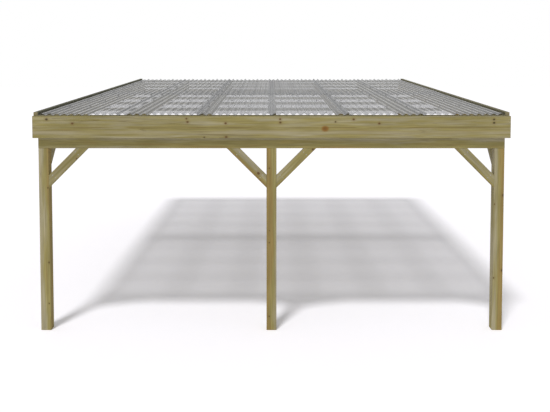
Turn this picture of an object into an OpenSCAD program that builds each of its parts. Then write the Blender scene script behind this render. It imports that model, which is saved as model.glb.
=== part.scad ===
// Lean-to double carport: a frame of treated timber under lapped corrugated sheets.
// Lengths are in millimetres. While it is drawn, X runs across the front, Y from the front
// face of the posts back to the wall, and Z up from the ground. The last step moves it all
// so that the origin lies at the middle of the wall plate's back face.

/* [Overall] */
// Width over the outer faces of the corner posts
frame_width = 4876; // [3800:1:6000]
// Depth from the front face of the posts to the wall
frame_depth = 6000; // [4500:10:7500]
// Clear height under the front beam
clear_height = 1935; // [1800:5:2600]
// Rise of the roof from front to back
roof_rise = 195; // [80:5:600]

/* [Posts and front beam] */
// Side of a square post, and depth of the front beam on it
post_width = 105; // [80:1:150]
// Height of the front beam
beam_height = 175; // [120:1:260]

/* [Roof timbers] */
// Thickness of the rafters and side beams
rafter_thickness = 45; // [35:1:70]
// Height of an inner rafter
rafter_height = 145; // [100:1:160]
// Height of a side beam, which is notched over the front beam and the wall plate
side_beam_height = 170; // [160:1:220]
// Distance by which the inner rafters stand right of the centre line
rafter_offset = 30; // [-30:1:30]
// Thickness of the wall plate
plate_thickness = 45; // [35:1:80]
// Height of the wall plate, which lies under the rafters
plate_height = 95; // [70:1:200]
// Width of a batten
batten_width = 45; // [35:1:70]
// Height of a batten
batten_height = 30; // [20:1:45]

/* [Boards round the roof] */
// Thickness of the front fascia
fascia_thickness = 45; // [18:1:60]
// Height of the front fascia
fascia_height = 230; // [200:1:300]
// Distance of the fascia's top below the tops of the battens
fascia_drop = 5; // [1:0.5:15]
// Thickness of a side plank
side_plank_thickness = 45; // [25:1:60]
// Height of a side plank
side_plank_height = 235; // [200:1:300]
// Distance by which a side plank stands above the battens
side_plank_upstand = 33; // [25:1:60]

/* [Knee braces] */
// Thickness of a brace
brace_thickness = 45; // [30:1:70]
// Width of a brace, square to its length
brace_width = 93; // [60:1:120]
// Drop of a front brace's lower edge, from the beam to the post
front_brace_drop = 415; // [300:5:600]
// Drop of a side brace's lower edge, from the side beam to the post
side_brace_drop = 555; // [300:5:700]

/* [Corrugated sheets] */
// Distance from crest to crest
wave_pitch = 76; // [60:1:100]
// Height of a wave, without the sheet's thickness
wave_height = 18; // [12:1:24]
// Thickness of a sheet
sheet_thickness = 1.2; // [0.8:0.1:2]
// Distance of the sheets' front edge behind the fascia's front face
sheet_setback = 43; // [5:1:47]
// Length by which the rear sheets lie over the front ones
row_lap = 450; // [150:10:600]

/* [Clearances] */
// Bevel on the long edges of the timbers
eased_edge = 3; // [1:0.5:6]
// Gap between a sheet and what it lies on
sheet_seat = 0.2; // [0.1:0.1:0.3]
// Least gap between the roof's edge and a side plank
sheet_edge_gap = 5; // [2:1:20]
// Distance of the first and last batten, and of the sheets' rear edge, from the fascia or wall
end_gap = 3; // [3:1:15]

/* [Hidden] */
rafter_count = 5;
batten_count = 9;
sheets_across = 6;
side_lap_waves = 1;
wave_steps = 10;
timber = [0.58, 0.53, 0.37];
timber_shaded = [0.48, 0.43, 0.3];
clear_sheet = [0.66, 0.68, 0.68, 0.6];

half_width = frame_width / 2;
beam_top = clear_height + beam_height;
slope = roof_rise / frame_depth;
slope_angle = atan(slope);

// Height of the rafters' top plane, and of the battens' top plane, at a depth y
function rafter_top(y) = beam_top + rafter_height + slope * (y - post_width);
function batten_top(y) = rafter_top(y) + batten_height / cos(slope_angle);

plate_front = frame_depth - plate_thickness;
plate_top = rafter_top(frame_depth) - rafter_height / cos(slope_angle);
plate_middle = plate_top - plate_height / 2;
rafter_pitch = (frame_width - rafter_thickness) / (rafter_count + 1);

// Roof lengths are measured along the slope, from the front face of the posts
roof_length = frame_depth / cos(slope_angle);
batten_pitch = (roof_length - 2 * end_gap - batten_width) / (batten_count - 1);
function batten_start(i) = end_gap + (i - 1) * batten_pitch;
joint_batten = (batten_count + 1) / 2;
front_row_start = sheet_setback - fascia_thickness;
front_row_end = batten_start(joint_batten) + batten_width;
back_row_start = front_row_end - row_lap;
back_row_end = roof_length - end_gap;

// Sheet widths are counted in wave steps, so that lapped waves lie in each other
step = wave_pitch / wave_steps;
lap_steps = side_lap_waves * wave_steps;
cover_steps = floor(((frame_width - 2 * sheet_edge_gap) / step - lap_steps) / sheets_across);
sheet_steps = cover_steps + lap_steps;
roof_width = (sheets_across * cover_steps + lap_steps) * step;
sheet_lift = sheet_thickness + sheet_seat;

front_braces = ["brace_corner_left", "brace_middle_left", "brace_middle_right", "brace_corner_right"];

// From the drawing's place to the wall frame
module placed() {
    translate([0, -frame_depth, -plate_middle]) children();
}

// Roof plane: local Y runs up the slope and local Z = 0 is the top of the rafters
module on_roof() {
    translate([0, 0, rafter_top(0)]) rotate([slope_angle, 0, 0]) children();
}

// Rectangle with bevelled corners, from the origin to [a, b]
module eased_rectangle(a, b) {
    e = eased_edge;
    polygon([[e, 0], [a - e, 0], [a, e], [a, b - e], [a - e, b], [e, b], [0, b - e], [0, e]]);
}

// Bar along local Y with its section in X and Z
module bar_along_y(a, b, length) {
    translate([0, length, 0]) rotate([90, 0, 0]) linear_extrude(length) eased_rectangle(a, b);
}

// Bar along X, centred, from an outline given in Y and Z
module bar_across(width) {
    translate([-width / 2, 0, 0]) rotate([90, 0, 90]) linear_extrude(width) children();
}

// Keeps what lies between the posts' front and the wall, so that sloping timbers get plumb ends
module plumb_ends() {
    reach = frame_width + frame_depth;
    intersection() {
        children();
        translate([-reach / 2, 0, 0]) cube([reach, frame_depth, reach]);
    }
}

// Sloping timber from the front to the wall, with its top at a height above the rafters' top plane
module roof_timber(x, thickness, height, top) {
    plumb_ends()
        on_roof()
            translate([x, -height, top - height])
                bar_along_y(thickness, height, roof_length + 2 * height);
}

// Level seats on the front beam and on the wall plate, cut from a sloping timber
module seated() {
    difference() {
        children();
        translate([-frame_width, -post_width, 0]) cube([2 * frame_width, 2 * post_width, beam_top]);
        translate([-frame_width, plate_front, 0]) cube([2 * frame_width, 2 * plate_thickness, plate_top]);
    }
}

module post(x) {
    color(timber)
        translate([x - post_width / 2, 0, 0])
            linear_extrude(clear_height) eased_rectangle(post_width, post_width);
}

module front_beam() {
    color(timber_shaded)
        translate([0, 0, clear_height])
            bar_across(frame_width) eased_rectangle(post_width, beam_height);
}

module wall_plate() {
    color(timber_shaded)
        translate([0, plate_front, plate_top - plate_height])
            bar_across(frame_width) eased_rectangle(plate_thickness, plate_height);
}

module side_beam(side) {
    x = side < 0 ? -half_width : half_width - rafter_thickness;
    color(timber_shaded)
        seated() roof_timber(x, rafter_thickness, side_beam_height, 0);
}

module rafter(i) {
    x = rafter_offset + (i - (rafter_count + 1) / 2) * rafter_pitch - rafter_thickness / 2;
    color(timber_shaded)
        seated() roof_timber(x, rafter_thickness, rafter_height, 0);
}

module batten(i) {
    color(timber_shaded)
        on_roof()
            translate([-half_width, batten_start(i), 0])
                cube([frame_width, batten_width, batten_height]);
}

// The fascia covers the ends of the side planks and the front edges of the battens
module front_fascia() {
    foot = batten_top(0) - fascia_drop - fascia_height;
    color(timber)
        translate([0, -fascia_thickness, foot])
            bar_across(frame_width + 2 * side_plank_thickness) eased_rectangle(fascia_thickness, fascia_height);
}

module side_plank(side) {
    x = side < 0 ? -half_width - side_plank_thickness : half_width;
    top = batten_height + side_plank_upstand;
    color(timber) roof_timber(x, side_plank_thickness, side_plank_height, top);
}

// Brace at 45 degrees in its own plane: X = 0 is the post's face, Y = 0 the beam's underside
// at the post, and that underside climbs by rise for each unit of X
module brace(drop, rise) {
    reach = 2 * drop;
    upper_drop = drop - brace_width * sqrt(2);
    lower_x = drop / (1 - rise);
    upper_x = upper_drop / (1 - rise);
    color(timber)
        intersection() {
            linear_extrude(brace_thickness)
                polygon([[0, -drop], [0, -upper_drop], [upper_x, upper_x * rise], [lower_x, lower_x * rise]]);
            translate([0, -drop, 0]) rotate([0, 0, 45])
                translate([-reach / 2, 0, 0]) rotate([90, 0, 90])
                    linear_extrude(2 * reach) eased_rectangle(brace_width, brace_thickness);
        }
}

// Front brace from the face of a post at x, leaning away from it to one side
module front_brace(x, side) {
    translate([x, brace_thickness, clear_height])
        mirror([side < 0 ? 1 : 0, 0, 0])
            rotate([90, 0, 0]) brace(front_brace_drop, 0);
}

// Side brace from a corner post back to the side beam, flush with their outer faces
module side_brace(side) {
    x = side < 0 ? -half_width : half_width - brace_thickness;
    under_beam = rafter_top(post_width) - side_beam_height / cos(slope_angle);
    translate([x, post_width, under_beam])
        rotate([90, 0, 90]) brace(side_brace_drop, slope);
}

// Height of the wave, in steps from its first valley
function wave(i) = wave_height / 2 * (1 - cos(360 * i / wave_steps));

// Sheet in column i, from y_from to y_to up the slope; every second column lies over its neighbours
module sheet(i, y_from, y_to, row_lift) {
    first = (i - 1) * cover_steps;
    last = first + sheet_steps;
    lift = sheet_seat + row_lift + ((i % 2 == 0) ? sheet_lift : 0);
    under = [for (k = [first:last]) [k * step, wave(k)]];
    over = [for (k = [last:-1:first]) [k * step, wave(k) + sheet_thickness]];
    color(clear_sheet)
        on_roof()
            translate([-roof_width / 2, y_to, batten_height + lift])
                rotate([90, 0, 0])
                    linear_extrude(y_to - y_from) polygon(concat(under, over));
}

module front_sheet(i) {
    sheet(i, front_row_start, front_row_end, 0);
}

module back_sheet(i) {
    sheet(i, back_row_start, back_row_end, 2 * sheet_lift);
}

corner_x = half_width - post_width / 2;
corner_face = half_width - post_width;
middle_face = post_width / 2;

placed() post(-corner_x);  // post_left
placed() post(0);  // post_middle
placed() post(corner_x);  // post_right
placed() front_beam();
placed() wall_plate();
placed() side_beam(-1);  // side_beam_left
placed() side_beam(1);  // side_beam_right
placed() front_fascia();
placed() side_plank(-1);  // side_plank_left
placed() side_plank(1);  // side_plank_right
placed() front_brace(-corner_face, 1);  // brace_corner_left
placed() front_brace(-middle_face, -1);  // brace_middle_left
placed() front_brace(middle_face, 1);  // brace_middle_right
placed() front_brace(corner_face, -1);  // brace_corner_right
placed() side_brace(-1);  // side_brace_left
placed() side_brace(1);  // side_brace_right
for (i = [1:rafter_count])
    placed() rafter(i);
for (i = [1:batten_count])
    placed() batten(i);
for (i = [1:sheets_across])
    placed() front_sheet(i);
for (i = [1:sheets_across])
    placed() back_sheet(i);
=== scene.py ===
"""Looks of a lean-to carport: treated softwood timbers under lapped corrugated sheets.

Each timber is an eased copy of its solid with a grain of its own. Node trees grow the sheets and
the fixings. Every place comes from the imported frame, in metres, with +Y into the wall and +Z up.
"""
import math
import random

import bmesh
import bpy
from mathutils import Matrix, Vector


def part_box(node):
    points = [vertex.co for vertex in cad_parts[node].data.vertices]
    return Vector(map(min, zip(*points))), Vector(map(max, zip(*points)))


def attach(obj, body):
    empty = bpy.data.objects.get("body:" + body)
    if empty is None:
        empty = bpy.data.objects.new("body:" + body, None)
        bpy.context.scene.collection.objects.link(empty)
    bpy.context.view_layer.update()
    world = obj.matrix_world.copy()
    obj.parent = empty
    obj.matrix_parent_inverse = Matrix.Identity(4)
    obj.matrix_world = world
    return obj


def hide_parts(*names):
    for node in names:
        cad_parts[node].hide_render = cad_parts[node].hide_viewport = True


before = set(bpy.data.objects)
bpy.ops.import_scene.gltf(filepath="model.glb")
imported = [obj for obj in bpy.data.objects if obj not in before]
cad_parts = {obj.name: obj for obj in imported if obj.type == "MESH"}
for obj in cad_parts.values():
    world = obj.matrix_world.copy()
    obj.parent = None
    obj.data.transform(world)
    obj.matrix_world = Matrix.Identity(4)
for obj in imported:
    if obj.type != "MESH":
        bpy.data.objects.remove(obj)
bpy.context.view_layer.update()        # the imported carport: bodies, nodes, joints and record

# View: the photograph is 550 pixels wide
PHOTO_WIDTH = 550
SENSOR_WIDTH = 36
FOCAL_PIXELS = 706.7
CAMERA_AHEAD = 7.351
CAMERA_HEIGHT = 2.8513
CAMERA_TILT = math.radians(2.87)
FRAME_DROP_PIXELS = 110
FRAME_RIGHT_PIXELS = 3.5

# Light: a soft sun from the front left, and an even sky
SUN_DIRECTION = Vector((0.19, 0.47, -1))
SUN_STRENGTH = 1.9
SUN_ANGLE = math.radians(9.5)
SKY_STRENGTH = 0.45
FLOOR_SIZE = 120
FLOOR_COLOUR = (0.955, 0.94, 0.98, 1)
FLOOR_LIFT = 0.12
WHITE = (1, 1, 1, 1)

# Sheets
WAVE_PITCH = 0.076
WAVE_HEIGHT = 0.018
SHEET_THICKNESS = 0.0012
STEPS_PER_WAVE = 16
SHEETS_ACROSS = 6
RIM_ANGLE = 0.8

# Timber edges
MERGE_DISTANCE = 1e-5
FLAT_ANGLE = math.radians(0.3)
EASE_FROM = math.radians(35)
EASE_WIDTH = 0.0012
EASE_STEPS = 2

# Screw heads on the braces; the taper is the top's share of the radius
HEAD_RADIUS = 0.0042
HEAD_HEIGHT = 0.0014
HEAD_TAPER = 0.7
HEAD_SIDES = 12
BRACE_WIDTH = 0.093
SCREW_INSET = 0.075
SCREW_SPREAD = 0.02

# Capped screws on the sheets; the brim is a share of the cap's height, shoulder and top are shares
# of its radius, and the inset is a share of what a sheet covers
CAP_RADIUS = 0.011
CAP_HEIGHT = 0.007
CAP_BRIM = 0.3
CAP_SHOULDER = 0.72
CAP_TOP = 0.42
CAP_SIDES = 14
CAPS_ACROSS = 4
CREST_STEP = 3
CAP_INSET = 0.1

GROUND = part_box("post_left")[0].z
ROOF_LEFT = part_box("sheet_front_1")[0].x
POSTS = ["post_left", "post_middle", "post_right"]
BATTENS = [f"batten_{number}" for number in range(1, 10)]
FRONT_BATTENS = 4
RAFTERS = [f"rafter_{number}" for number in range(1, 6)]
SIDE_TIMBERS = ["side_beam_left", "side_beam_right", "side_plank_left", "side_plank_right"]
RISING_RIGHT = ["brace_corner_left", "brace_middle_right"]
RISING_LEFT = ["brace_corner_right", "brace_middle_left"]
SIDE_BRACES = ["side_brace_left", "side_brace_right"]


def roof_slope():
    """Angle of the roof, from the first and last battens."""
    first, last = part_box(BATTENS[0]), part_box(BATTENS[-1])
    rise = last[1].z - first[1].z
    run = last[1].y - first[1].y
    return math.atan2(rise, run)


SLOPE = roof_slope()
UP_SLOPE = Vector((0, math.cos(SLOPE), math.sin(SLOPE)))
OFF_SLOPE = Vector((0, -math.sin(SLOPE), math.cos(SLOPE)))
ACROSS = Vector((1, 0, 0))
BACK = Vector((0, 1, 0))
UP = Vector((0, 0, 1))


# Node helpers

def plug(tree, value, socket):
    """Links a node or socket to a socket, or sets a plain value on it."""
    if isinstance(value, bpy.types.Node):
        value = value.outputs[0]
    if isinstance(value, bpy.types.NodeSocket):
        tree.links.new(value, socket)
    else:
        socket.default_value = value


def add(tree, kind, inputs=None, **settings):
    """Adds a node with its settings and inputs."""
    made = tree.nodes.new(kind)
    for name, value in settings.items():
        setattr(made, name, value)
    for key, value in (inputs or {}).items():
        plug(tree, value, made.inputs[key])
    return made


def reckon(tree, operation, first, second=0.0):
    """A sum on one or two numbers."""
    return add(tree, "ShaderNodeMath", {0: first, 1: second}, operation=operation)


def plus(tree, first, second):
    """One number added to another."""
    return reckon(tree, "ADD", first, second)


def minus(tree, first, second):
    """One number taken from another."""
    return reckon(tree, "SUBTRACT", first, second)


def times(tree, first, second):
    """One number times another."""
    return reckon(tree, "MULTIPLY", first, second)


def larger(tree, first, second):
    """The larger of two numbers."""
    return reckon(tree, "MAXIMUM", first, second)


def away_from(tree, value, level):
    """How far a number is from a level, on either side."""
    return reckon(tree, "ABSOLUTE", minus(tree, value, level))


def between(tree, factor, first, second):
    """A number between two others; 2 and 3 are a Mix node's number inputs."""
    return add(tree, "ShaderNodeMix", {0: factor, 2: first, 3: second})


def span(tree, value, low, high, start=0.0, end=1.0):
    """Eases a number from one range to another."""
    inputs = {"Value": value, "From Min": low, "From Max": high, "To Min": start, "To Max": end}
    return add(tree, "ShaderNodeMapRange", inputs, interpolation_type="SMOOTHSTEP")


def shift(tree, operation, first, second):
    """A sum on two vectors."""
    return add(tree, "ShaderNodeVectorMath", {0: first, 1: second}, operation=operation)


def parts(tree, vector):
    """The X, Y and Z of a vector."""
    return add(tree, "ShaderNodeSeparateXYZ", {0: vector}).outputs


def joined(tree, x=0.0, y=0.0, z=0.0):
    """A vector from three numbers."""
    return add(tree, "ShaderNodeCombineXYZ", {0: x, 1: y, 2: z})


def kept(tree, name):
    """What a mesh keeps under a name."""
    return add(tree, "ShaderNodeAttribute", attribute_name=name).outputs


def cloud(tree, vector, stretch, detail, roughness):
    """Noise stretched by three scales."""
    stretched = shift(tree, "MULTIPLY", vector, stretch)
    inputs = {"Vector": stretched, "Scale": 1.0, "Detail": detail, "Roughness": roughness}
    return add(tree, "ShaderNodeTexNoise", inputs)


def blend(tree, factor, first, second, way="MIX"):
    """Mixes two colours; 6 and 7 are a Mix node's colour inputs, and 2 is its colour result."""
    made = add(tree, "ShaderNodeMix", {0: factor, 6: first, 7: second}, data_type="RGBA", blend_type=way)
    return made.outputs[2]


def shade(tree, colour, factor):
    """A colour made darker or lighter by a number."""
    return blend(tree, 1.0, colour, factor, "MULTIPLY")


def stain(tree, colour, where, tint, cover):
    """A colour stained with another where a number says, as strongly as the stain covers."""
    return blend(tree, times(tree, where, cover), colour, tint)


def ramp(tree, factor, stops):
    """Colours along a number from 0 to 1."""
    made = add(tree, "ShaderNodeValToRGB", {0: factor})
    elements = made.color_ramp.elements
    while len(elements) < len(stops):
        elements.new(0.5)
    for element, (place, colour) in zip(elements, stops):
        element.position = place
        element.color = (*colour, 1)
    return made


def new_material(name):
    """An empty material with its tree and output."""
    made = bpy.data.materials.new(name)
    made.use_nodes = True
    made.node_tree.nodes.clear()
    return made, made.node_tree, made.node_tree.nodes.new("ShaderNodeOutputMaterial")


def surface(tree, output, inputs):
    """Ends a material in its shader."""
    shader = add(tree, "ShaderNodeBsdfPrincipled", inputs)
    tree.links.new(shader.outputs[0], output.inputs[0])


# Timber: colours from the heart outwards, of the knots, and of the painted shade on some tops and inner
# faces
HONEY = (0.312, 0.228, 0.08)
OLIVE = (0.309, 0.264, 0.1)
SAPWOOD = (0.385, 0.345, 0.215)
WOOD_ZONES = [(0.15, HONEY), (0.45, OLIVE), (0.6, OLIVE), (1.0, SAPWOOD)]
KNOT_BROWN = (0.13, 0.07, 0.028, 1)
KNOT_DARK = (0.06, 0.05, 0.022, 1)
KNOT_COVER = 0.93
# Painted shade: the dark grey-brown laid on some tops and on the side planks' inner faces
PAINTED_SHADE_COLOUR = (0.095, 0.095, 0.062, 1)
FASCIA_PALE = (0.385, 0.335, 0.215, 1)
FASCIA_DARK = (0.17, 0.12, 0.042, 1)
# Stains: colour, and how strongly it covers
LATE_WOOD = ((0.19, 0.135, 0.055, 1), 0.22)
CHECK_BROWN = ((0.13, 0.095, 0.04, 1), 0.45)
BENT_WOOD = ((0.21, 0.13, 0.045, 1), 0.3)
END_GRAIN = ((0.17, 0.13, 0.06, 1), 0.35)
OLD_BRANCH = ((0.245, 0.11, 0.02, 1), 0.85)
OLD_PITH = (KNOT_BROWN, 0.45)

# Noise in the timber: scales along, across and through the log, detail and roughness
DRIFT_NOISE = ((0.7, 4, 4), 2.0, 0.5)
PATCH_NOISE = ((1.7, 22, 22), 3.0, 0.55)
LINE_NOISE = ((2.6, 75, 75), 4.0, 0.6)
BROAD_NOISE = ((1.9, 7, 7), 2.0, 0.5)
FIBRE_NOISE = ((9, 340, 340), 2.0, 0.6)
SPLIT_NOISE = ((0.8, 24, 24), 1.0, 0.5)
CRACKED_NOISE = ((1.3, 3, 3), 2.0, 0.5)
LUCK_NOISE = ((2, 2, 2), 2.0, 0.5)
FASCIA_SWAY_NOISE = ((1.5, 1, 1), 2.0, 0.5)
FASCIA_PALE_NOISE = ((1.8, 9, 9), 2.0, 0.5)
FASCIA_DARK_NOISE = ((3.1, 2, 2), 2.0, 0.5)
# What noise becomes: its low and high, and what they turn into
LINE_SHADES = (0.25, 0.75, 0.8, 1.16)
FIBRE_SHADES = (0.2, 0.8, 0.94, 1.05)
BROAD_SHADES = (0.3, 0.7, 0.92, 1.06)
WOOD_ROUGHNESS = (0.2, 0.8, 0.62, 0.82)
CRACKED_PARTS = (0.52, 0.62)
LUCK_PARTS = (0.4, 0.6)
FASCIA_PALE_PARTS = (0.3, 0.6, 0.25, 0.75)
FASCIA_DARK_PARTS = (0.38, 0.58, 0.0, 0.55)
# Grain: how far it drifts, the rings, and where the heart gives way to sapwood
GRAIN_DRIFT = (0, 0.016, 0.016)
RING_WIDTH = 0.005
RING_BEND = 0.012
RINGS = [(0.0, (0, 0, 0)), (0.55, (0.15, 0.15, 0.15)), (0.9, (1, 1, 1)), (1.0, (0, 0, 0))]
HEART_TO_SAP = (0.02, 0.115)
MOTTLE_STRENGTH = 1.6
CHECK_WIDTH = (0.016, 0.003)
# Relief: rings and fibres stand up, checks lie deep and knots stand proud
LATE_RELIEF = 0.35
FIBRE_RELIEF = 0.5
CHECK_RELIEF = 1.5
KNOT_RELIEF = 0.4
RELIEF_STRENGTH = 0.35
RELIEF_DEPTH = 0.0012
WOOD_SPECULAR = 0.12

# Strewn knots: cells for a metre along and across, the luck that grows one, and sizes in cells
KNOT_SPREAD = (4.0, 4.6)
KNOT_LUCK = 0.45
KNOT_LARGEST = 0.058
KNOT_SMALLEST = 0.014
KNOT_RIM = (-0.006, 0.014)
KNOT_BEND = (-0.1, 0.0)
# Listed knots: what a length along the piece counts for, and their edges and the bent wood in radii
KNOT_LENGTHWISE = 0.8
LISTED_OUTSIDE = 1.4
LISTED_INSIDE = 0.55
LISTED_BEND = 3.2

# Knots through the wide faces of some pieces: place along and across from the middle, and radius
KNOTS = {
    "front_fascia": [
        (-2.334, 0.081, 0.011), (-2.067, 0.038, 0.010), (-0.882, 0.088, 0.008), (-0.871, 0.054, 0.010),
        (-0.476, 0.040, 0.010), (-0.470, -0.104, 0.011), (-0.698, -0.106, 0.007), (0.090, 0.083, 0.009),
        (0.092, 0.048, 0.010), (0.664, 0.055, 0.007), (0.852, 0.081, 0.010), (1.118, 0.038, 0.010),
        (2.308, 0.080, 0.009), (2.309, 0.045, 0.010)],
    "front_beam": [],
    "post_left": [(-0.241, 0.042, 0.008), (-0.680, 0.036, 0.006), (0.551, 0.042, 0.006)],
    "post_middle": [
        (-0.030, -0.024, 0.006), (0.758, -0.024, 0.006), (-0.819, -0.024, 0.006),
        (0.098, -0.020, 0.004)],
    "post_right": [
        (0.473, 0.044, 0.011), (-0.326, 0.043, 0.010), (0.378, -0.046, 0.006),
        (-0.406, -0.043, 0.007)],
    "brace_middle_left": [(-0.126, 0.048, 0.014)],
    "brace_middle_right": [(0.261, 0.016, 0.009)],
    "brace_corner_right": []}
FASCIA_OLD_BRANCH = (0.557, -0.017, 0.03)
FASCIA_OLD_PITH = (0.555, -0.015, 0.007)
# The fascia's lines: height from its middle, their edges, and how far they sway
FASCIA_STREAK = -0.005
FASCIA_STREAK_WIDTH = (0.009, 0.002)
FASCIA_PALE_BAND = -0.056
FASCIA_PALE_WIDTH = (0.028, 0.004)
FASCIA_SWAY = 0.016


def scattered_knots(tree, along, across):
    """Knots strewn over a face; gives the knot, the bent wood round it, and a number drawn for each."""
    spot = joined(tree, times(tree, along, KNOT_SPREAD[0]), times(tree, across, KNOT_SPREAD[1]))
    cells = add(tree, "ShaderNodeTexVoronoi", {"Vector": spot, "Scale": 1.0}, voronoi_dimensions="2D")
    luck = add(tree, "ShaderNodeSeparateColor", {0: cells.outputs["Color"]})
    size = span(tree, luck.outputs[0], KNOT_LUCK, 1.0, 0.0, KNOT_LARGEST)
    depth = minus(tree, size, cells.outputs["Distance"])
    grown = reckon(tree, "GREATER_THAN", size, KNOT_SMALLEST)
    knot = times(tree, span(tree, depth, *KNOT_RIM), grown)
    bent = times(tree, span(tree, depth, *KNOT_BEND), grown)
    return knot, bent, luck.outputs[1]


def listed_knots(tree, place, knots):
    """Knots at given places on a piece; gives the knot and the bent wood round it."""
    flat = shift(tree, "MULTIPLY", place, (KNOT_LENGTHWISE, 1, 0))
    knot = bent = 0.0
    for along, across, radius in knots:
        away = shift(tree, "DISTANCE", flat, (KNOT_LENGTHWISE * along, across, 0)).outputs["Value"]
        knot = larger(tree, knot, span(tree, away, LISTED_OUTSIDE * radius, LISTED_INSIDE * radius))
        bent = larger(tree, bent, span(tree, away, LISTED_BEND * radius, radius))
    return knot, bent


def pine_knots(tree, place, grain, wander, side, own_knots):
    """Knots strewn over a piece, or its own on its wide faces; gives what scattered_knots gives."""
    spot = parts(tree, place)
    on_edge = side["X"]
    across = between(tree, on_edge, spot["Y"], spot["Z"])
    knot, bent, luck = scattered_knots(tree, parts(tree, grain)["X"], plus(tree, across, side["Y"]))
    if own_knots is None:
        return knot, bent, luck
    own, round_own = listed_knots(tree, place, own_knots)
    luck = span(tree, cloud(tree, wander, *LUCK_NOISE), *LUCK_PARTS)
    return between(tree, on_edge, own, knot), between(tree, on_edge, round_own, bent), luck


def fascia_lines(tree, place, wander, colour):
    """The fascia's broken dark streak at half height, and the pale band below it."""
    sway = times(tree, minus(tree, cloud(tree, wander, *FASCIA_SWAY_NOISE), 0.5), FASCIA_SWAY)
    level = plus(tree, parts(tree, place)["Y"], sway)
    pale = span(tree, away_from(tree, level, FASCIA_PALE_BAND), *FASCIA_PALE_WIDTH)
    broken = span(tree, cloud(tree, wander, *FASCIA_PALE_NOISE), *FASCIA_PALE_PARTS)
    colour = blend(tree, times(tree, pale, broken), colour, FASCIA_PALE)
    dark = span(tree, away_from(tree, level, FASCIA_STREAK), *FASCIA_STREAK_WIDTH)
    broken = span(tree, cloud(tree, wander, *FASCIA_DARK_NOISE), *FASCIA_DARK_PARTS)
    return blend(tree, times(tree, dark, broken), colour, FASCIA_DARK)


def fascia_branch(tree, place, knot, colour):
    """The fascia's one large knot, orange with a dark pith; gives all the knots and the colour."""
    branch = listed_knots(tree, place, [FASCIA_OLD_BRANCH])[0]
    pith = listed_knots(tree, place, [FASCIA_OLD_PITH])[1]
    colour = stain(tree, colour, branch, *OLD_BRANCH)
    colour = stain(tree, colour, pith, *OLD_PITH)
    return larger(tree, knot, branch), colour


def log_grain(tree, place):
    """Place in the log, the same with the grain's drift, and the distance from the heart."""
    grain = shift(tree, "ADD", place, kept(tree, "heart")["Vector"])
    noise = cloud(tree, grain, *DRIFT_NOISE).outputs["Color"]
    drift = shift(tree, "SUBTRACT", noise, (0.5, 0.5, 0.5))
    wander = shift(tree, "ADD", grain, shift(tree, "MULTIPLY", drift, GRAIN_DRIFT))
    flat = shift(tree, "MULTIPLY", wander, (0, 1, 1))
    radius = shift(tree, "LENGTH", flat, (0, 0, 0)).outputs["Value"]
    return grain, wander, radius


def late_rings(tree, radius, bent):
    """The dark late wood of each year's ring, bent round the knots."""
    ringed = plus(tree, radius, times(tree, bent, RING_BEND))
    phase = reckon(tree, "FRACT", reckon(tree, "DIVIDE", ringed, RING_WIDTH))
    return ramp(tree, phase, RINGS)


def drying_checks(tree, wander):
    """Thin cracks along the grain, in some parts of a piece."""
    split = away_from(tree, cloud(tree, wander, *SPLIT_NOISE), 0.5)
    cracked = span(tree, cloud(tree, wander, *CRACKED_NOISE), *CRACKED_PARTS)
    return times(tree, span(tree, split, *CHECK_WIDTH), cracked)


def sound_wood(tree, wander, radius, sap, line, fibre):
    """Colour of wood free of knots: honey at the heart, then olive, then pale sapwood."""
    patch = cloud(tree, wander, *PATCH_NOISE)
    mottle = times(tree, minus(tree, patch, 0.5), MOTTLE_STRENGTH)
    zone = plus(tree, plus(tree, span(tree, radius, *HEART_TO_SAP), mottle), sap)
    colour = ramp(tree, zone, WOOD_ZONES)
    colour = shade(tree, colour, span(tree, line, *LINE_SHADES))
    colour = shade(tree, colour, span(tree, fibre, *FIBRE_SHADES))
    return shade(tree, colour, span(tree, cloud(tree, wander, *BROAD_NOISE), *BROAD_SHADES))


def wood_relief(tree, late, fibre, check, knot):
    """Fine relief of planed wood."""
    relief = plus(tree, times(tree, late, LATE_RELIEF), times(tree, fibre, FIBRE_RELIEF))
    relief = minus(tree, relief, times(tree, check, CHECK_RELIEF))
    relief = plus(tree, relief, times(tree, knot, KNOT_RELIEF))
    inputs = {"Strength": RELIEF_STRENGTH, "Distance": RELIEF_DEPTH, "Height": relief}
    return add(tree, "ShaderNodeBump", inputs)


def treated_pine(name, own_knots=None, board=False):
    """Pressure-treated softwood with rings, knots, checks and end grain, and painted shade on some tops and
    inner faces.

    Knots are strewn over it, or its wide faces have their own. A board is the fascia, with its lines.
    """
    material, tree, output = new_material(name)
    place = kept(tree, "place")["Vector"]
    side = parts(tree, kept(tree, "side")["Vector"])
    look = parts(tree, kept(tree, "look")["Vector"])
    grain, wander, radius = log_grain(tree, place)
    knot, bent, luck = pine_knots(tree, place, grain, wander, side, own_knots)
    late = late_rings(tree, radius, bent)
    line = cloud(tree, wander, *LINE_NOISE)
    fibre = cloud(tree, wander, *FIBRE_NOISE)
    check = drying_checks(tree, wander)

    colour = sound_wood(tree, wander, radius, look["Z"], line, fibre)
    colour = stain(tree, colour, late, *LATE_WOOD)
    colour = stain(tree, colour, check, *CHECK_BROWN)
    if board:
        colour = fascia_lines(tree, place, wander, colour)
    colour = stain(tree, colour, bent, *BENT_WOOD)
    colour = stain(tree, colour, knot, blend(tree, luck, KNOT_BROWN, KNOT_DARK), KNOT_COVER)
    if board:
        knot, colour = fascia_branch(tree, place, knot, colour)
    colour = stain(tree, colour, side["Z"], *END_GRAIN)
    colour = shade(tree, colour, look["X"])
    # Painted shade: tops and the side planks' inner faces darkened towards grey-brown
    colour = blend(tree, look["Y"], colour, PAINTED_SHADE_COLOUR)

    surface(tree, output, {
        "Base Color": colour, "Roughness": span(tree, line, *WOOD_ROUGHNESS),
        "Normal": wood_relief(tree, late, fibre, check, knot), "Specular IOR Level": WOOD_SPECULAR})
    return material
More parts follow.
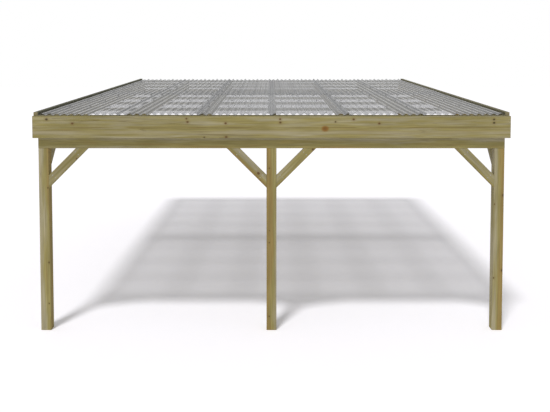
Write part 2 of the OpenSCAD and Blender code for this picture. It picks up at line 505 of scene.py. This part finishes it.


# Plastic of the sheets: its grey, the pale dust and painted highlight on it, and how much it hides when seen
# square or aslant
SHEET_GREY = (0.325, 0.3283, 0.3331, 1)
SHEET_DUST_AND_HIGHLIGHT = (0.6, 0.597, 0.588, 1)
SHEET_IOR = 1.02
SHEET_ALPHA_SQUARE = 0.44
SHEET_ALPHA_ASLANT = 0.66
ASLANT_POWER = 4.0
# Streaks on the sheets: scales across, along and through the roof, detail and roughness, and their share of
# dust and painted highlight
STREAK_NOISE = ((9, 0.35, 1), 3.0, 0.5)
STREAK_DUST_AND_HIGHLIGHT = (0.3, 0.75, 0.8, 1.0)
# Pale dust and painted highlight by height from the middle of the wave, up to the crests and down to the
# valleys
DUST_AND_HIGHLIGHT_LEVELS = (0.2, 0.5)
# Pale dust and painted highlight by distance from the middle of the roof, growing towards the sides: from
# and to, and its strength there
DUST_AND_HIGHLIGHT_GATHERS = (0.4, 2.2, 0.12, 1.0)
# Roughness of each row along its streaks
FRONT_ROUGHNESS = (0.08, 0.14)
BACK_ROUGHNESS = (0.18, 0.26)

# Steel and caps: greys along their noise, its scales, detail and roughness, and how rough they are
ZINC_GREYS = [(0.0, (0.4, 0.41, 0.42)), (1.0, (0.6, 0.61, 0.62))]
ZINC_SPANGLE = 160.0
ZINC_NOISE = ((40, 40, 40), 2.0, 0.5)
ZINC_ROUGHNESS = (0.35, 0.6)
CAP_GREYS = [(0.3, (0.2, 0.202, 0.205)), (0.7, (0.26, 0.262, 0.265))]
CAP_NOISE = ((90, 90, 90), 3.0, 0.5)
CAP_ROUGHNESS = (0.3, 0.5)
CAP_IOR = 1.1
# Noise that counts as lowest and highest, for the roughness of plastic and steel
NOISE_RANGE = (0.2, 0.8)


def roof_plastic(name, roughness):
    """Clear grey corrugated plastic, clearest when looked through squarely.

    Pale colour lies on the crests and in the valleys in faint streaks, thickest near the side planks: partly
    dust, partly a painted highlight on the crest lines. The flanks stay clean.
    """
    material, tree, output = new_material(name)
    place = add(tree, "ShaderNodeTexCoord").outputs["Object"]
    streaks = cloud(tree, place, *STREAK_NOISE)
    level = away_from(tree, kept(tree, "crest")["Fac"], 0.5)
    # Pale dust and painted highlight on crests and valleys, in streaks, growing towards the sides
    dust_and_highlight = times(tree, span(tree, level, *DUST_AND_HIGHLIGHT_LEVELS), span(tree, streaks, *STREAK_DUST_AND_HIGHLIGHT))
    aside = away_from(tree, parts(tree, place)["X"], 0.0)
    dust_and_highlight = times(tree, dust_and_highlight, span(tree, aside, *DUST_AND_HIGHLIGHT_GATHERS))
    facing = add(tree, "ShaderNodeLayerWeight", {"Blend": 0.5}).outputs["Facing"]
    aslant = reckon(tree, "POWER", facing, ASLANT_POWER)
    alpha = add(tree, "ShaderNodeMapRange", {
        "Value": aslant, "To Min": SHEET_ALPHA_SQUARE, "To Max": SHEET_ALPHA_ASLANT})
    surface(tree, output, {
        "Base Color": blend(tree, dust_and_highlight, SHEET_GREY, SHEET_DUST_AND_HIGHLIGHT),
        "Roughness": span(tree, streaks, *NOISE_RANGE, *roughness),
        "IOR": SHEET_IOR, "Alpha": alpha})
    return material


def zinc():
    """Galvanised steel with soft spangle."""
    material, tree, output = new_material("zinc")
    place = add(tree, "ShaderNodeTexCoord").outputs["Object"]
    spangle = add(tree, "ShaderNodeTexVoronoi", {"Vector": place, "Scale": ZINC_SPANGLE})
    rough = span(tree, cloud(tree, place, *ZINC_NOISE), *NOISE_RANGE, *ZINC_ROUGHNESS)
    surface(tree, output, {
        "Base Color": ramp(tree, spangle.outputs["Color"], ZINC_GREYS), "Roughness": rough, "Metallic": 1.0})
    return material


def cap_plastic():
    """Smoky plastic of the caps over the sheet screws."""
    material, tree, output = new_material("cap_plastic")
    place = add(tree, "ShaderNodeTexCoord").outputs["Object"]
    mottle = cloud(tree, place, *CAP_NOISE)
    rough = span(tree, mottle, *NOISE_RANGE, *CAP_ROUGHNESS)
    surface(tree, output, {
        "Base Color": ramp(tree, mottle, CAP_GREYS), "Roughness": rough, "IOR": CAP_IOR})
    return material


PINE = treated_pine("treated_pine")
OWN_PINE = {node: treated_pine(node + "_pine", knots, board=node == "front_fascia")
            for node, knots in KNOTS.items()}
FRONT_PLASTIC = roof_plastic("front_row_plastic", FRONT_ROUGHNESS)
BACK_PLASTIC = roof_plastic("back_row_plastic", BACK_ROUGHNESS)
ZINC = zinc()
CAP = cap_plastic()


# Pieces

def in_scene(name, data):
    """A new object in the scene."""
    made = bpy.data.objects.new(name, data)
    bpy.context.scene.collection.objects.link(made)
    return made


def piece(name, mesh, slot, *nodes):
    """Puts a finished mesh into the scene on the one body, in place of its solids."""
    made = in_scene(name, mesh)
    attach(made, "root")
    if nodes:
        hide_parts(*nodes)


def plain_mesh(name, shape):
    """A mesh from a finished shape."""
    mesh = bpy.data.meshes.new(name)
    shape.to_mesh(mesh)
    shape.free()
    return mesh


def eased_copy(node):
    """A merged copy of a timber's solid with its sharp edges eased."""
    shape = bmesh.new()
    shape.from_mesh(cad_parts[node].data)
    bmesh.ops.remove_doubles(shape, verts=shape.verts, dist=MERGE_DISTANCE)
    bmesh.ops.dissolve_limit(shape, angle_limit=FLAT_ANGLE, verts=shape.verts, edges=shape.edges)
    sharp = [edge for edge in shape.edges if edge.calc_face_angle(0) > EASE_FROM]
    bmesh.ops.bevel(shape, geom=sharp, offset=EASE_WIDTH, offset_type="OFFSET", segments=EASE_STEPS,
                    profile=0.5, affect="EDGES", clamp_overlap=True)
    bmesh.ops.dissolve_degenerate(shape, dist=MERGE_DISTANCE, edges=shape.edges)
    return plain_mesh(node + "_wood", shape)


# How the main timbers were sawn: offset of the heart from the middle, across and through the piece
HEARTS = {
    "post_left": (-0.055, 0.02), "post_middle": (0.048, 0.03), "post_right": (-0.05, 0.015),
    "front_fascia": (0.03, 0.07), "front_beam": (0.06, 0.012)}
# How light a piece is, and how far it is towards sapwood
TONES = {
    "front_beam": (0.985, 0.06), "front_fascia": (1.0, -0.27),
    "post_left": (1.04, 0.22), "post_middle": (1.0, -0.05), "post_right": (1.02, -0.03),
    "brace_corner_left": (0.95, -0.22), "brace_middle_left": (0.95, -0.08),
    "brace_middle_right": (0.95, -0.12), "brace_corner_right": (0.95, -0.2)}
# The same for the other timbers, drawn from these ranges, and where each begins along its log
HEART_ACROSS = (0.02, 0.1)
HEART_THROUGH = (0.02, 0.08)
TONE_RANGE = (0.93, 1.04)
SAP_RANGE = (-0.12, 0.12)
LOG_LENGTH = 60
# How far the tops, and the side planks' inner faces, are darkened grey as painted shade, the left plank most
PAINTED_SHADE_SHARES = {"side_plank_left": 1.0, "side_plank_right": 0.75, "front_fascia": 0.6}
# Offsets that give opposite faces different knots
TURN_AHEAD = 3.1
TURN_BEHIND = 7.7
# How squarely a face has to look along the piece to be its end, or up to be its top
END_FACING = 0.6
TOP_FACING = 0.5
# A side plank's inner face: its facing times the plank's distance from the middle, in metres
INNER_FACING = -1


def sawn(node):
    """Start along the log and the heart's offsets, and the tone and sap of a timber."""
    draw = random.Random(node)
    start = draw.uniform(0, LOG_LENGTH)
    heart = draw.uniform(*HEART_ACROSS), draw.uniform(*HEART_THROUGH)
    tones = draw.uniform(*TONE_RANGE), draw.uniform(*SAP_RANGE)
    return (start, *HEARTS.get(node, heart)), TONES.get(node, tones)


def lay_grain(mesh, node, along, across):
    """Keeps where each point lies in its log, which side each face is on, and how the piece looks."""
    through = along.cross(across)
    low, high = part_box(node)
    middle = (low + high) / 2
    log, (tone, sap) = sawn(node)
    place = mesh.attributes.new("place", "FLOAT_VECTOR", "POINT")
    for vertex, point in zip(mesh.vertices, place.data):
        offset = vertex.co - middle
        point.vector = (offset.dot(along), offset.dot(across), offset.dot(through))
    heart = mesh.attributes.new("heart", "FLOAT_VECTOR", "FACE")
    side = mesh.attributes.new("side", "FLOAT_VECTOR", "FACE")
    look = mesh.attributes.new("look", "FLOAT_VECTOR", "FACE")
    for face in mesh.polygons:
        facing = face.normal.dot(across), face.normal.dot(through)
        edge = abs(facing[0]) > abs(facing[1])
        turn = TURN_AHEAD if facing[0 if edge else 1] > 0 else TURN_BEHIND
        end = abs(face.normal.dot(along)) > END_FACING
        # Painted shade: faces looking up, and a side plank's face towards the middle
        painted_shade_face = face.normal.z > TOP_FACING or face.normal.x * middle.x < INNER_FACING
        painted_shade = PAINTED_SHADE_SHARES.get(node, 0.0) if painted_shade_face else 0.0
        heart.data[face.index].vector = log
        side.data[face.index].vector = (float(edge), turn, float(end))
        look.data[face.index].vector = (tone, painted_shade, sap)


def timber(node, along, across):
    """One timber, dressed."""
    mesh = eased_copy(node)
    lay_grain(mesh, node, along, across)
    mesh.materials.append(OWN_PINE.get(node, PINE))
    piece(node + "_wood", mesh, "treated_timber", node)


def build_timbers():
    """All timbers, each with its grain along its length."""
    for node in POSTS:
        timber(node, UP, ACROSS)
    for node in ["front_beam", "front_fascia", "wall_plate"] + BATTENS:
        timber(node, ACROSS, UP)
    for node in RAFTERS + SIDE_TIMBERS:
        timber(node, UP_SLOPE, OFF_SLOPE)
    rising_right = (ACROSS + UP).normalized()
    rising_left = (UP - ACROSS).normalized()
    for node in RISING_RIGHT:
        timber(node, rising_right, rising_left)
    for node in RISING_LEFT:
        timber(node, rising_left, rising_right)
    for node in SIDE_BRACES:
        timber(node, (BACK + UP).normalized(), (UP - BACK).normalized())


# Node trees that grow meshes

def growing_tree(name, sizes, from_points=False):
    """A geometry tree with a named input for each size; gives the tree, its inputs and its output."""
    tree = bpy.data.node_groups.new(name, "GeometryNodeTree")
    tree.interface.new_socket("Geometry", in_out="OUTPUT", socket_type="NodeSocketGeometry")
    if from_points:
        tree.interface.new_socket("Geometry", in_out="INPUT", socket_type="NodeSocketGeometry")
    for label, value in sizes.items():
        kind = {float: "NodeSocketFloat", int: "NodeSocketInt"}.get(type(value), "NodeSocketVector")
        socket = tree.interface.new_socket(label, in_out="INPUT", socket_type=kind)
        socket.default_value = value
    given = tree.nodes.new("NodeGroupInput").outputs
    result = tree.nodes.new("NodeGroupOutput").inputs[0]
    return tree, given, result


def grow(tree, sizes, start=None):
    """Runs a tree with the given sizes and returns the result as a plain mesh."""
    holder = in_scene(tree.name, start or bpy.data.meshes.new(tree.name))
    grower = holder.modifiers.new(tree.name, "NODES")
    grower.node_group = tree
    for item in tree.interface.items_tree:
        if item.name in sizes:
            grower[item.identifier] = sizes[item.name]
    grown = holder.evaluated_get(bpy.context.evaluated_depsgraph_get())
    mesh = bpy.data.meshes.new_from_object(grown)
    holder.modifiers.remove(grower)
    bpy.data.objects.remove(holder)
    return mesh


def together(tree, first, second):
    """Two geometries as one."""
    both = add(tree, "GeometryNodeJoinGeometry", {0: first})
    tree.links.new(second.outputs[0], both.inputs[0])
    return both


def finish_tree(tree, geometry, material, result):
    """Realizes what a tree has grown and gives it its material."""
    real = add(tree, "GeometryNodeRealizeInstances", {0: geometry})
    dressed = add(tree, "GeometryNodeSetMaterial", {"Geometry": real, "Material": material})
    tree.links.new(dressed.outputs[0], result)


def waved_grid(tree, given):
    """A grid raised into waves, which keeps the height of each point on its wave as its crest."""
    width = times(tree, given["Waves"], given["Pitch"])
    steps = times(tree, given["Waves"], float(STEPS_PER_WAVE))
    grid = add(tree, "GeometryNodeMeshGrid", {
        "Size X": width, "Size Y": given["Length"], "Vertices X": plus(tree, steps, 1.0), "Vertices Y": 2})
    place = parts(tree, add(tree, "GeometryNodeInputPosition"))
    x = plus(tree, place["X"], times(tree, width, 0.5))
    y = plus(tree, place["Y"], times(tree, given["Length"], 0.5))
    turns = plus(tree, reckon(tree, "DIVIDE", x, given["Pitch"]), given["First Wave"])
    swing = reckon(tree, "COSINE", times(tree, turns, 2 * math.pi))
    crest = times(tree, minus(tree, 1.0, swing), 0.5)
    marked = add(tree, "GeometryNodeStoreNamedAttribute",
                 {"Geometry": grid, "Name": "crest", "Value": crest}, data_type="FLOAT", domain="POINT")
    raised = joined(tree, x, y, times(tree, crest, given["Wave Height"]))
    return add(tree, "GeometryNodeSetPosition", {"Geometry": marked, "Position": raised})


def sheet_tree(name, plastic):
    """A corrugated sheet: a waved grid, thickened, closed and laid on the slope."""
    sizes = {"Waves": 11.5, "Pitch": WAVE_PITCH, "Wave Height": WAVE_HEIGHT,
             "Thickness": SHEET_THICKNESS, "Length": 3.0, "First Wave": 0.0, "Slope": SLOPE,
             "Corner": (0.0, 0.0, 0.0)}
    tree, given, result = growing_tree(name, sizes)
    waved = waved_grid(tree, given)
    lift = joined(tree, z=given["Thickness"])
    thick = add(tree, "GeometryNodeExtrudeMesh", {"Mesh": waved, "Offset": lift, "Individual": False},
                mode="FACES")
    both = together(tree, thick, add(tree, "GeometryNodeFlipFaces", {"Mesh": waved}))
    closed = add(tree, "GeometryNodeMergeByDistance", {"Geometry": both, "Distance": MERGE_DISTANCE})
    smooth = add(tree, "GeometryNodeSetShadeSmooth", {0: closed, "Shade Smooth": True}, domain="FACE")
    rim = reckon(tree, "GREATER_THAN", add(tree, "GeometryNodeInputMeshEdgeAngle"), RIM_ANGLE)
    sharp = add(tree, "GeometryNodeSetShadeSmooth", {0: smooth, "Selection": rim, "Shade Smooth": False},
                domain="EDGE")
    laid = add(tree, "GeometryNodeTransform", {
        "Geometry": sharp, "Translation": given["Corner"], "Rotation": joined(tree, given["Slope"])})
    finish_tree(tree, laid, plastic, result)
    return tree


def cap_shape(tree, given):
    """A washer with a domed cap on it."""
    radius, height = given["Cap Radius"], given["Cap Height"]
    brim = times(tree, height, CAP_BRIM)
    washer = add(tree, "GeometryNodeMeshCylinder", {"Vertices": CAP_SIDES, "Radius": radius, "Depth": brim})
    dome = add(tree, "GeometryNodeMeshCone", {
        "Vertices": CAP_SIDES, "Radius Bottom": times(tree, radius, CAP_SHOULDER),
        "Radius Top": times(tree, radius, CAP_TOP), "Depth": times(tree, height, 1 - CAP_BRIM)})
    raised = add(tree, "GeometryNodeTransform", {"Geometry": dome, "Translation": joined(tree, z=brim)})
    return together(tree, washer, raised)


def cap_tree():
    """Rows of screws with caps and washers, on crests along the battens."""
    sizes = {"First": (0.0, 0.0, 0.0), "Across Count": CAPS_ACROSS,
             "Across Step": CREST_STEP * WAVE_PITCH, "Along Count": 4, "Along Step": (0.0, 0.7, 0.0),
             "Slope": SLOPE, "Cap Radius": CAP_RADIUS, "Cap Height": CAP_HEIGHT}
    tree, given, result = growing_tree("sheet_screws", sizes)
    step = joined(tree, given["Across Step"])
    row = add(tree, "GeometryNodeMeshLine", {"Count": given["Across Count"], "Offset": step})
    column = add(tree, "GeometryNodeMeshLine", {
        "Count": given["Along Count"], "Start Location": given["First"], "Offset": given["Along Step"]})
    rows = add(tree, "GeometryNodeInstanceOnPoints", {"Points": column, "Instance": row})
    points = add(tree, "GeometryNodeRealizeInstances", {0: rows})
    placed = add(tree, "GeometryNodeInstanceOnPoints", {
        "Points": points, "Instance": cap_shape(tree, given), "Rotation": joined(tree, given["Slope"])})
    finish_tree(tree, placed, CAP, result)
    return tree


def head_tree():
    """Screw heads at marked points, each facing the way its mark says."""
    sizes = {"Head Radius": HEAD_RADIUS, "Head Height": HEAD_HEIGHT}
    tree, given, result = growing_tree("screw_heads", sizes, from_points=True)
    facing = add(tree, "GeometryNodeInputNamedAttribute", {"Name": "facing"}, data_type="FLOAT_VECTOR")
    turned = add(tree, "FunctionNodeAlignRotationToVector", {"Vector": facing}, axis="Z")
    head = add(tree, "GeometryNodeMeshCone", {
        "Vertices": HEAD_SIDES, "Radius Bottom": given["Head Radius"],
        "Radius Top": times(tree, given["Head Radius"], HEAD_TAPER), "Depth": given["Head Height"]})
    placed = add(tree, "GeometryNodeInstanceOnPoints", {
        "Points": given["Geometry"], "Instance": head, "Rotation": turned})
    finish_tree(tree, placed, ZINC, result)
    return tree


def build_sheets():
    """Both rows of lapped sheets, with the wave carried on from sheet to sheet."""
    lean = (WAVE_HEIGHT + SHEET_THICKNESS) * math.sin(SLOPE)
    for row, plastic in (("front", FRONT_PLASTIC), ("back", BACK_PLASTIC)):
        tree = sheet_tree(row + "_row_sheet", plastic)
        for number in range(1, SHEETS_ACROSS + 1):
            node = f"sheet_{row}_{number}"
            low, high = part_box(node)
            corner = (low.x, low.y + lean, low.z)
            sizes = {"Waves": (high.x - low.x) / WAVE_PITCH, "Corner": corner,
                     "Length": (high.y - corner[1]) / math.cos(SLOPE),
                     "First Wave": (low.x - ROOF_LEFT) / WAVE_PITCH}
            piece(node + "_plastic", grow(tree, sizes), "roof_sheet", node)


def first_cap(sheet, batten):
    """Place of a sheet's first cap: the first crest well inside its edge, over the middle of a batten."""
    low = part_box(sheet)[0]
    batten_low, batten_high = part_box(batten)
    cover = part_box("sheet_front_2")[0].x - ROOF_LEFT
    # crests lie half a wave on from the valleys
    waves = math.ceil((low.x - ROOF_LEFT + CAP_INSET * cover) / WAVE_PITCH - 0.5) + 0.5
    x = ROOF_LEFT + waves * WAVE_PITCH
    y = (batten_low.y + batten_high.y) / 2
    z = low.z + (y - low.y) * math.tan(SLOPE) + WAVE_HEIGHT + SHEET_THICKNESS
    return x, y, z


def build_caps():
    """Capped screws on every third crest, over each batten, one mesh for a row of sheets."""
    tree = cap_tree()
    for row, battens in (("front", BATTENS[:FRONT_BATTENS]), ("back", BATTENS[FRONT_BATTENS:])):
        shape = bmesh.new()
        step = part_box(battens[1])[0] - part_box(battens[0])[0]
        for number in range(1, SHEETS_ACROSS + 1):
            sizes = {"First": first_cap(f"sheet_{row}_{number}", battens[0]),
                     "Along Count": len(battens), "Along Step": step}
            shape.from_mesh(grow(tree, sizes))
        mesh = plain_mesh(f"sheet_screws_{row}", shape)
        mesh.materials.append(CAP)
        piece(f"sheet_screws_{row}", mesh, "roof_sheet")


def brace_ends(node):
    """Middles of a brace's lower and upper cuts, on the face that shows, and the way that face looks."""
    low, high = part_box(node)
    half_cut = BRACE_WIDTH / math.sqrt(2)
    foot_z, top_z = low.z + half_cut, high.z
    if node in SIDE_BRACES:
        outer, way = (low.x, -ACROSS) if node.endswith("left") else (high.x, ACROSS)
        return Vector((outer, low.y, foot_z)), Vector((outer, high.y - half_cut, top_z)), way
    if node in RISING_RIGHT:
        return Vector((low.x, low.y, foot_z)), Vector((high.x - half_cut, low.y, top_z)), -BACK
    return Vector((high.x, low.y, foot_z)), Vector((low.x + half_cut, low.y, top_z)), -BACK


def head_marks():
    """Points and facings of the screws: two through each end of each brace."""
    marks = []
    for node in RISING_RIGHT + RISING_LEFT + SIDE_BRACES:
        foot, top, way = brace_ends(node)
        along = (top - foot).normalized()
        across = along.cross(way)
        for end, inwards in ((foot, along), (top, -along)):
            for side in (-1, 1):
                marks.append((end + SCREW_INSET * inwards + side * SCREW_SPREAD * across, way))
    return marks


def build_heads():
    """All timber screw heads as one mesh."""
    marks = head_marks()
    points = bpy.data.meshes.new("screw_marks")
    points.from_pydata([place for place, way in marks], [], [])
    facing = points.attributes.new("facing", "FLOAT_VECTOR", "POINT")
    for (place, way), point in zip(marks, facing.data):
        point.vector = way
    piece("timber_screws", grow(head_tree(), {}, points), "zinc_fixing")


# Stage

def seen_rays(tree):
    """1 for what the camera sees, be it straight, mirrored or through the sheets."""
    rays = add(tree, "ShaderNodeLightPath").outputs
    seen = larger(tree, rays["Is Camera Ray"], rays["Is Glossy Ray"])
    return larger(tree, seen, rays["Is Transmission Ray"])


def build_floor():
    """A pale floor that is white where it is lit and keeps the shadow."""
    mesh = bpy.data.meshes.new("floor")
    half = FLOOR_SIZE / 2
    corners = [(-half, -half, GROUND), (half, -half, GROUND), (half, half, GROUND), (-half, half, GROUND)]
    mesh.from_pydata(corners, [], [(0, 1, 2, 3)])
    material, tree, output = new_material("studio_floor")
    matte = add(tree, "ShaderNodeBsdfDiffuse", {"Color": FLOOR_COLOUR})
    lift = times(tree, seen_rays(tree), FLOOR_LIFT)
    glow = add(tree, "ShaderNodeEmission", {"Color": WHITE, "Strength": lift})
    both = add(tree, "ShaderNodeAddShader", {0: matte, 1: glow})
    tree.links.new(both.outputs[0], output.inputs[0])
    mesh.materials.append(material)
    floor = in_scene("floor", mesh)


def build_world():
    """White where it is seen or mirrored, and a plain even sky for light."""
    world = bpy.data.worlds.new("studio")
    world.use_nodes = True
    tree = world.node_tree
    tree.nodes.clear()
    sky = add(tree, "ShaderNodeBackground", {"Color": WHITE, "Strength": SKY_STRENGTH})
    white = add(tree, "ShaderNodeBackground", {"Color": WHITE, "Strength": 1.0})
    both = add(tree, "ShaderNodeMixShader", {0: seen_rays(tree), 1: sky, 2: white})
    output = tree.nodes.new("ShaderNodeOutputWorld")
    tree.links.new(both.outputs[0], output.inputs[0])
    bpy.context.scene.world = world


def build_sun():
    """A soft sun from the front left."""
    lamp = bpy.data.lights.new("sun", "SUN")
    lamp.energy = SUN_STRENGTH
    lamp.angle = SUN_ANGLE
    sun = in_scene("sun", lamp)
    sun.rotation_euler = SUN_DIRECTION.to_track_quat("-Z", "Y").to_euler()


def build_camera():
    """The photograph's view."""
    lens = bpy.data.cameras.new("camera")
    lens.sensor_width = SENSOR_WIDTH
    lens.lens = FOCAL_PIXELS / PHOTO_WIDTH * SENSOR_WIDTH
    lens.shift_x = FRAME_RIGHT_PIXELS / PHOTO_WIDTH
    lens.shift_y = -FRAME_DROP_PIXELS / PHOTO_WIDTH
    camera = in_scene("camera", lens)
    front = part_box("post_left")[0].y
    camera.location = (0, front - CAMERA_AHEAD, GROUND + CAMERA_HEIGHT)
    camera.rotation_euler = (math.pi / 2 - CAMERA_TILT, 0, 0)
    bpy.context.scene.camera = camera


build_timbers()
build_sheets()
build_caps()
build_heads()
build_floor()
build_world()
build_sun()
build_camera()

bpy.context.scene.view_settings.view_transform = "Standard"
